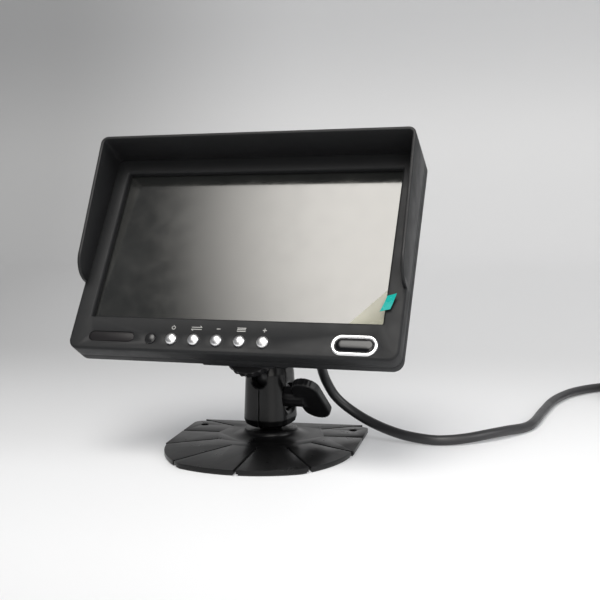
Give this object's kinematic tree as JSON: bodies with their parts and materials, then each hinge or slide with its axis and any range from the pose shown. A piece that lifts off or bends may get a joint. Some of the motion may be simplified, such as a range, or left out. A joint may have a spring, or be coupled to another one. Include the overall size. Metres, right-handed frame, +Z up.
{
  "type": "rear view monitor with sun visor and clamp stand",
  "caption": "Seven-inch rear view monitor with a clip-on sun visor, on a double-ball clamp arm with a wing knob and a slotted stick-down base, with a screw-lock lead.",
  "frame": {"origin": "On the base's underside, on the hub's vertical axis.", "axes": "+X is the monitor user's right, +Y points back away from the viewer, +Z is up; the table plane is z = 0."},
  "size_m": [0.3635, 0.2552, 0.1694],
  "materials": {
    "stand_metal": "satin black powder coat",
    "foam": "closed cell foam",
    "zinc_steel": "bright zinc plate",
    "ball_metal": "satin black",
    "black_plastic": "moulded, fine satin",
    "case_plastic": "moulded, fine texture",
    "visor_plastic": "moulded, fine texture",
    "gloss_black": "polished",
    "sensor_plastic": "smooth",
    "ir_plastic": "dark tinted, polished",
    "screen_glass": "flat glass over a dark panel",
    "film": "clear protective film, slightly hazy",
    "teal_film": "thin printed film",
    "panel_steel": "folded sheet",
    "board": "solder mask",
    "chrome_plastic": "plated",
    "lead_pvc": "satin jacket",
    "gold": "plated pins"
  },
  "bodies": {
    "base": {"base_plate": "stand_metal", "foam_pad": "foam", "base_screw": "zinc_steel", "lead_run": "lead_pvc", "lead_coil": "lead_pvc", "lead_tail": "lead_pvc", "coil_tie": "black_plastic", "connector_body": "black_plastic", "connector_pins": "gold"},
    "pan": {"lower_ball": "ball_metal"},
    "arm": {"arm_half_left": "stand_metal", "arm_half_right": "stand_metal", "clamp_nut": "zinc_steel", "knob_washer": "ball_metal"},
    "knob": {"wing_knob": "black_plastic", "clamp_stud": "zinc_steel"},
    "head": {"upper_ball": "ball_metal"},
    "disc": {"lock_disc": "black_plastic"},
    "rail": {"slide_plate": "ball_metal"},
    "monitor": {"rear_cover": "case_plastic", "rail_housing": "case_plastic", "front_bezel": "case_plastic", "lcd_panel": "panel_steel", "lcd_glass": "screen_glass", "screen_film": "film", "film_tab": "teal_film", "panel_frame": "panel_steel", "main_board": "board", "key_board": "board", "ir_window": "ir_plastic", "light_sensor": "sensor_plastic", "badge_ring": "chrome_plastic", "badge_insert": "gloss_black", "case_screws": "zinc_steel", "lead_boot": "lead_pvc"},
    "visor": {"sun_visor": "visor_plastic"},
    "button_power": {"button_power": "chrome_plastic"},
    "button_input": {"button_input": "chrome_plastic"},
    "button_minus": {"button_minus": "chrome_plastic"},
    "button_menu": {"button_menu": "chrome_plastic"},
    "button_plus": {"button_plus": "chrome_plastic"},
    "ring": {"connector_ring": "zinc_steel"}
  },
  "joints": [
    {"name": "base_pan", "type": "hinge", "parent": "base", "child": "pan", "pos_m": [0, 0, 0.0135], "axis": [0, 0, 1], "range_deg": [-90, 90], "deforming": ["lead_run"]},
    {"name": "arm_lean", "type": "hinge", "parent": "pan", "child": "arm", "pos_m": [0, 0, 0.0135], "axis": [0.9763, -0.2164, 0], "range_deg": [-6, 6], "deforming": ["lead_run"]},
    {"name": "knob_turn", "type": "hinge", "parent": "arm", "child": "knob", "pos_m": [0, 0, 0.02525], "axis": [0.9763, -0.2164, 0], "range_deg": [-180, 180]},
    {"name": "head_tilt", "type": "hinge", "parent": "arm", "child": "head", "pos_m": [0, 0, 0.037], "axis": [0.9954, -0.0958, 0], "range_deg": [-30, 32.5], "deforming": ["lead_run"]},
    {"name": "lock_disc_turn", "type": "hinge", "parent": "head", "child": "disc", "pos_m": [-0.00263, -0.02728, 0.05446], "axis": [0.0808, 0.8395, -0.5373], "range_deg": [-180, 180]},
    {"name": "head_roll", "type": "hinge", "parent": "head", "child": "rail", "pos_m": [-0.00323, -0.03358, 0.05849], "axis": [0.0808, 0.8395, -0.5373], "range_deg": [-8, 8], "deforming": ["lead_run"]},
    {"name": "rail_slide", "type": "slide", "parent": "rail", "child": "monitor", "axis": [0.0515, 0.5348, 0.8434], "range_m": [0, 0.036], "deforming": ["lead_run"]},
    {"name": "visor_slide", "type": "slide", "parent": "monitor", "child": "visor", "axis": [-0.0808, -0.8395, 0.5373], "range_m": [0, 0.03]},
    {"name": "button_power_press", "type": "slide", "parent": "monitor", "child": "button_power", "axis": [0.0808, 0.8395, -0.5373], "range_m": [0, 0.0008], "stiffness_N_per_m": 900, "springref_m": -0.0008},
    {"name": "button_input_press", "type": "slide", "parent": "monitor", "child": "button_input", "axis": [0.0808, 0.8395, -0.5373], "range_m": [0, 0.0008], "stiffness_N_per_m": 900, "springref_m": -0.0008},
    {"name": "button_minus_press", "type": "slide", "parent": "monitor", "child": "button_minus", "axis": [0.0808, 0.8395, -0.5373], "range_m": [0, 0.0008], "stiffness_N_per_m": 900, "springref_m": -0.0008},
    {"name": "button_menu_press", "type": "slide", "parent": "monitor", "child": "button_menu", "axis": [0.0808, 0.8395, -0.5373], "range_m": [0, 0.0008], "stiffness_N_per_m": 900, "springref_m": -0.0008},
    {"name": "button_plus_press", "type": "slide", "parent": "monitor", "child": "button_plus", "axis": [0.0808, 0.8395, -0.5373], "range_m": [0, 0.0008], "stiffness_N_per_m": 900, "springref_m": -0.0008},
    {"name": "connector_ring_turn", "type": "hinge", "parent": "base", "child": "ring", "pos_m": [0.2617, 0.075, 0.009], "axis": [0, -1, 0], "range_deg": [-180, 180]}
  ]
}
